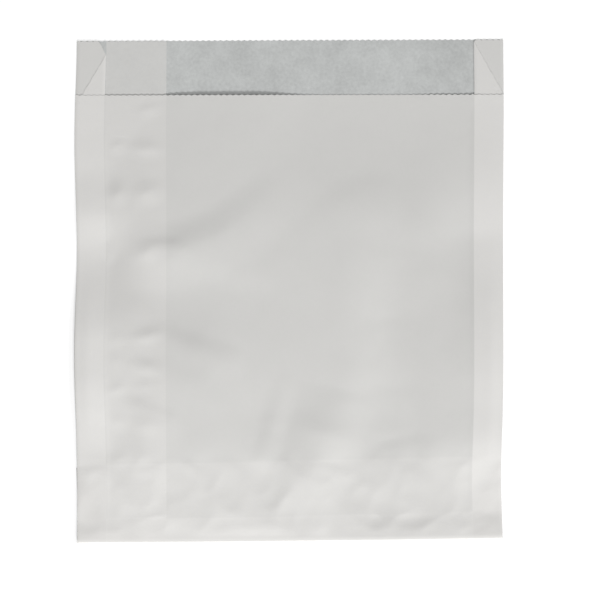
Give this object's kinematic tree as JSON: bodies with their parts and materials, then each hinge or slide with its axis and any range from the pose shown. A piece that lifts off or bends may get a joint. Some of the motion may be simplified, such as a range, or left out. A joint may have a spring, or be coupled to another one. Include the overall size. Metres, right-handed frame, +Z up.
{
  "type": "flat paper sandwich bag",
  "caption": "Flat side-gusseted sandwich bag in white greaseproof paper, with a serrated lip mouth, a lapped back seam and a turned-under bottom.",
  "frame": {"origin": "centre of the bag's outline, on the surface it lies on", "axes": "+X across the width, +Y from the bottom fold towards the mouth, +Z up from the back panel to the front panel"},
  "size_m": [0.1526, 0.1798, 0.0025],
  "materials": {
    "greaseproof_paper": "smooth calendered, slightly translucent"
  },
  "bodies": {
    "root": {"paper_bag": "greaseproof_paper"}
  },
  "joints": []
}
